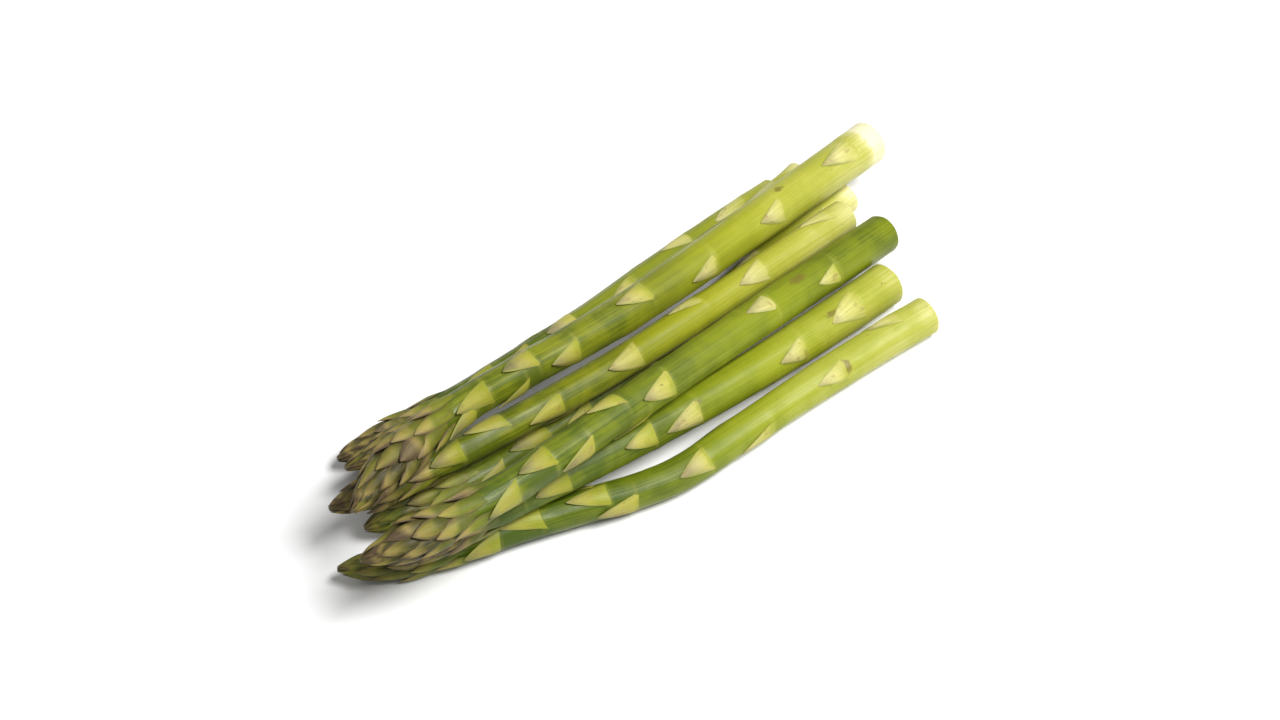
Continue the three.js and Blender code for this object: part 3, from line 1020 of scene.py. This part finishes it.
def build_scale_material(name, look):
    made, n, shader = new_material(name)
    tone, age = n.painted("tone"), n.painted("age")
    u, v, _ = n.separate(n.node("ShaderNodeUVMap", uv_map="UVMap")["UV"])
    place = n.combine(n.times(u, TILE_WIDTH), n.times(tone, 0.5), n.times(v, TILE_LENGTH))
    from_middle = n.maths("ABSOLUTE", n.maths("MULTIPLY_ADD", u, 2.0, -1.0))
    signs = n.grain(place, 1500.0, 0.010, look["specks"])
    wobble = n.swing(signs["Clouds"], 0.30)
    along = n.plus(v, wobble)
    shifted = n.plus(along, n.swing(tone, look["variety"]))
    back = n.blend(age, n.ramp(shifted, look["young"]), n.ramp(shifted, look["back"]))
    foot = n.spread(along, *look["foot_over"], 1.0, 0.0)
    skin = stem_colour(n, signs)
    if look["foot"] is None:
        # A young leaf grows out of the skin; one in the deep green takes some of it.
        young = n.minus(1.0, age)
        late = n.spread(n.painted("green"), 0.84, 1.0, 0.0, 0.32)
        foot = n.maths("MAXIMUM", n.times(foot, young),
                       n.maths("MAXIMUM", n.times(young, 0.22), late))
        back = n.blend(foot, back, skin)
    else:
        # A bud scale's foot takes painted shade, a dark ink where the scale below overlaps it;
        # young scales near the neck take the skin's colour there instead.
        back = n.blend(foot, back, n.blend(age, skin, ink(look["foot"])))
    # A leaf's edge colour is its own; on a bud scale the dark purple-brown edge is partly its own
    # colour and partly painted shade where the scales meet.
    edge = n.times(n.spread(n.plus(from_middle, wobble), *look["edge_over"]),
                   n.spread(v, look["edge_start"], 0.75))
    # rim is painted shade, a thin dark line along both sides of the tile.
    rim = n.times(n.spread(from_middle, 0.84, 1.0), look["rim"])
    bruise = n.spread(n.noise(place, 330.0), 0.60, 0.70)
    colour = back
    for share, code in ((edge, look["edge"]), (rim, RIM_SHADE_INK),
                        (n.times(signs["Streaks"], look["streaks"]), look["vein"]),
                        (n.times(bruise, look["bruises"]), BRUISE_INK),
                        (n.times(signs["Specks"], 0.6), SPECK_INK)):
        colour = n.blend(share, colour, ink(code))
    n.dress(shader, {"Base Color": colour, "Roughness": n.spread(v, 0, 1, 0.42, 0.62),
                     "Specular IOR Level": 0.22})
    n.bump(shader, signs["Height"], 0.20 * MM)
    return made


# On leaves "rim" is a faint painted shade along their edges.
leaf_skin = build_scale_material("leaf_skin", {
    "back": [(0.0, "98982f"), (0.22, "aaa13e"), (0.48, "aca04e"), (0.72, "9c8e5a"),
             (0.94, "7d6e58")],
    "young": [(0.0, "b9b65a"), (0.3, "d0c97e"), (0.6, "d6cd92"), (0.9, "b8aa7c")],
    "edge": "94964a", "edge_over": (0.55, 1.0), "edge_start": 0.0,
    "vein": "7f8a2c", "streaks": 0.34, "variety": 0.35, "specks": 0.35, "bruises": 0.45,
    "foot": None, "foot_over": (-0.02, 0.14), "rim": 0.22})
# In both bud materials: "foot" is a dark painted shade where the scale below overlaps, "rim" a
# painted shade line between scales, and the purple-brown "edge" partly the scale's own colour,
# partly painted shade.
bud_scale = build_scale_material("bud_scale", {
    "back": [(0.0, "4c5c14"), (0.25, "5b6119"), (0.52, "6d6726"), (0.78, "8a7a42"),
             (0.95, "44352a")],
    "young": [(0.0, "6c7a20"), (0.3, "7b8028"), (0.6, "9c8f46"), (0.9, "8a7a56")],
    "edge": "4c3d32", "edge_over": (0.42, 0.98), "edge_start": 0.10,
    "vein": "988a4c", "streaks": 0.20, "variety": 0.50, "specks": 0.35,
    "foot": "2b2a0d", "foot_over": (0.36, 0.68), "rim": 0.72,
    "bruises": 0.35})
bud_scale_green = build_scale_material("bud_scale_green", {
    "back": [(0.0, "586c18"), (0.30, "5a681a"), (0.60, "646622"), (0.82, "6e662c"),
             (0.97, "554b2e")],
    "young": [(0.0, "74801f"), (0.3, "7e8428"), (0.6, "8c863c"), (0.9, "8b7e55")],
    "edge": "574f30", "edge_over": (0.48, 1.0), "edge_start": 0.20,
    "vein": "959046", "streaks": 0.22, "variety": 0.40, "specks": 0.25,
    "foot": "2c330b", "foot_over": (0.36, 0.68), "rim": 0.62,
    "bruises": 0.2})


def build_bud_core():
    made, n, shader = new_material("bud_core")
    place = n.node("ShaderNodeTexCoord")["Object"]
    shade = n.ramp(n.noise(place, 160.0), [(0.3, "453d1c"), (0.7, "585026")])
    n.dress(shader, {"Base Color": shade, "Roughness": 0.6})
    return made


bud_core = build_bud_core()
print("scale materials:", leaf_skin.name, bud_scale.name, bud_scale_green.name, bud_core.name)

# %% [markdown]
# ## The buds
#
# The head of a spear is a bud: scales set on a spiral, each a golden angle on
# from the last, so they lie in neat crossing rows. They lie closer and flatter
# as the bud narrows, and the last ones meet in a point. Under them we put a
# smooth core so that no gap shows through.

# %% Build the buds
BUD_THICKNESS = 1.75 * MM
BUD_RISE = 1.7 * MM
BUD_SPACING = 1.25 * MM
BUD_SCALE_LENGTH = 13.5 * MM
BUD_SCALE_HALF = 3.8 * MM
BUD_LEAN = 0.07
WIDEST_ANGLE = 1.35
# The sizes above suit a bud of this radius; the others are drawn to scale.
USUAL_RADIUS = 6.5 * MM
# The first scale starts below the neck, the last this far from the tip.
BELOW_NECK = 2.5 * MM
LAST_SCALE = 8 * MM
# Slim green buds; the others are the ordinary olive ones.
GREEN_BUDS = {1, 4}
CORE_SIDES = 24
CORE_RINGS = 50


def build_core(spear, places, radii):
    angles = np.arange(CORE_SIDES) / CORE_SIDES * math.tau
    points = [ring_at(spear, place, angles, radius) for place, radius in zip(places, radii)]
    points += [[at(spear, "line", place)] for place in (places[0], places[-1])]
    points = np.vstack(points)
    points[:, 2] = np.maximum(points[:, 2], 0)
    core = new_mesh_object(f"bud_core_{spear['number']}", points,
                           tube_faces(len(places), CORE_SIDES))
    core.data.materials.append(bud_core)
    core.hide_render = True
    return core


def bud_rows(spear, core_places, core_radii, dice):
    """The point values of a bud's scales, from the neck to the tip."""
    neck = np.searchsorted(spear["places"], spear["neck"])
    size = spear["radius"][neck:].max() / USUAL_RADIUS
    rows, place = [], spear["neck"] - BELOW_NECK
    angle = dice.uniform(0, math.tau)
    while place < spear["length"] - LAST_SCALE:
        along = max(0, (place - spear["neck"]) / (spear["length"] - spear["neck"]))
        grown = min(1, 0.62 + 1.5 * along)
        long = min(BUD_SCALE_LENGTH * dice.uniform(0.94, 1.06),
                   spear["length"] - place - 0.2 * MM)
        middle = np.interp(place + 0.35 * long, core_places, core_radii) + BUD_THICKNESS
        tip = np.interp(place + long, core_places, core_radii)
        wide = min(WIDEST_ANGLE, BUD_SCALE_HALF * size * dice.uniform(0.95, 1.05) / middle)
        # Scales lie closer where the bud narrows to its point.
        close = min(1, (tip + 0.4 * MM) / (4 * MM))
        lean = dice.uniform(-BUD_LEAN, BUD_LEAN)
        rise = BUD_RISE * close * dice.uniform(0.85, 1.2)
        plump = grown * (0.5 + 0.5 * close) * dice.uniform(0.88, 1.1)
        rows.append((place, angle, long, wide, lean, rise, plump, dice.random(),
                     min(1, 2.5 * along), 0.95, YELLOWNESS[spear["number"]]))
        angle += GOLDEN_ANGLE
        place += BUD_SPACING * size ** 0.5 * (1 - 0.25 * along)
    return rows


dice = random.Random(23)
buds = []
for spear in spears:
    places = np.linspace(spear["neck"] + 8 * MM, spear["length"] - 0.2 * MM, CORE_RINGS)
    radii = core_radius(spear, places)
    core = build_core(spear, places, radii)
    inner = np.where(spear["places"] < spear["neck"], spear["radius"],
                     core_radius(spear, spear["places"]))
    axis = axis_curve(f"bud_axis_{spear['number']}", spear["line"], inner)
    material = bud_scale_green if spear["number"] in GREEN_BUDS else bud_scale
    rows = bud_rows(spear, spear["places"], inner, dice)
    bud = wrap(f"bud_{spear['number']}", rows, scale_tile, axis, core, BUD_THICKNESS,
               material)
    buds.append(bud)
    report(bud)
    for helper in (core, axis):
        bpy.data.objects.remove(helper)

# %% [markdown]
# ## The leaves on the stem
#
# The same tree wraps the leaves. Near the head they are longer and plumper, and
# some lift their dry points a little off the stem. The lowest ones, near the cut,
# are broad and lie flat as a thin film.

# %% Build the leaves
LEAF_THICKNESS = 0.62 * MM
LEAF_LEAN = 0.16
LEAF_WIDEST_ANGLE = 1.3
# A leaf's foot starts a little below its node, so no gap shows there.
FOOT_BELOW = 0.2 * MM
# The leaves below this place are the broad ones.
LOW_PLACE = 20 * MM

dice = random.Random(31)
leaf_sets = []
for spear in spears:
    axis = axis_curve(f"leaf_axis_{spear['number']}", spear["line"], spear["radius"])
    rows = []
    for start, angle in spear["leaves"]:
        share = start / spear["neck"]
        long = (10.0 + 1.8 * share) * MM * dice.uniform(0.86, 1.12)
        half = (3.9 + 0.2 * share) * MM * dice.uniform(0.88, 1.10)
        if start < LOW_PLACE:
            long, half = 1.25 * long, 1.35 * half
        room = max(0.1 * MM, room_for(spear, start, angle, long) - ROOM_OVER)
        lift = min(room, dice.uniform(0.15, 0.5) * MM * (0.5 + share))
        age = min(1, 1.5 * share ** 1.5)
        wide = min(LEAF_WIDEST_ANGLE, half / at(spear, "radius", start))
        lean = dice.uniform(-LEAF_LEAN, LEAF_LEAN)
        rows.append((start - FOOT_BELOW, angle, long, wide, lean, lift * age,
                     0.5 + 0.9 * age, dice.random(), age,
                     greenness(spear["number"], start, spear["neck"]),
                     YELLOWNESS[spear["number"]]))
    leaves = wrap(f"leaves_{spear['number']}", rows, leaf_tile, axis, None,
                  LEAF_THICKNESS, leaf_skin)
    leaf_sets.append(leaves)
    bpy.data.objects.remove(axis)
    report(leaves)
for tile in (leaf_tile, scale_tile):
    bpy.data.objects.remove(tile)

# %% [markdown]
# ## Hand every piece to the frame
#
# Nothing in a bunch moves by itself, so every piece rides on the one body. Each
# piece gets its name, and the CAD solids it stands for are hidden.

# %% Names, bodies and hidden CAD solids
for spear, stem, bud, leaves in zip(spears, stems, buds, leaf_sets):
    base = f"spear_{spear['number']}"
    cad_leaves = [f"{base}_leaf_{k + 1}" for k in range(LEAVES_PER_SPEAR)]
    for piece, name, nodes, finish in (
            (stem, "stem_skin", [f"{base}_stem"], "stem"),
            (bud, "bud", [f"{base}_head"], "head"),
            (leaves, "leaves", cad_leaves, "scale_leaf")):
        piece.name = f"{base}_{name}"
        piece.data.name = piece.name
        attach(piece, "root")
        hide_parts(*nodes)
print("pieces handed over:", 3 * len(spears))

# %% [markdown]
# ## Floor and light
#
# A pale matt floor, one big soft light high on the camera's right, and a weak one
# behind on the left that brightens the far edges. The pale world fills the rest.

# %% Floor and lights
FLOOR_HALF = 4
FLOOR_GREY = 0.86
WORLD_STRENGTH = 0.24


def build_floor():
    corners = [(x * FLOOR_HALF, y * FLOOR_HALF, 0)
               for x, y in ((-1, -1), (1, -1), (1, 1), (-1, 1))]
    floor = new_mesh_object("floor", corners, [(0, 1, 2, 3)])
    made, n, shader = new_material("pale_floor")
    n.dress(shader, {"Base Color": (FLOOR_GREY, FLOOR_GREY, FLOOR_GREY, 1),
                     "Roughness": 0.8, "Specular IOR Level": 0.2})
    floor.data.materials.append(made)
    return floor


def soft_light(name, azimuth, height, distance, size, power):
    data = bpy.data.lights.new(name, "AREA")
    data.shape = "DISK"
    data.size = size
    data.energy = power
    aim(add_object(name, data), azimuth, height, distance)


floor = build_floor()
soft_light("key", azimuth=206, height=60, distance=1.3, size=0.7, power=25)
soft_light("fill", azimuth=350, height=45, distance=1.5, size=1.0, power=3)
world = bpy.data.worlds.new("pale_world")
world.use_nodes = True
background = world.node_tree.nodes["Background"]
background.inputs["Color"].default_value = (1, 1, 1, 1)
background.inputs["Strength"].default_value = WORLD_STRENGTH
bpy.context.scene.world = world
bpy.context.scene.view_settings.view_transform = "Standard"
print("two lights and a pale world")

# %% Sizes
def plain(box):
    return [[float(v) for v in corner] for corner in box]
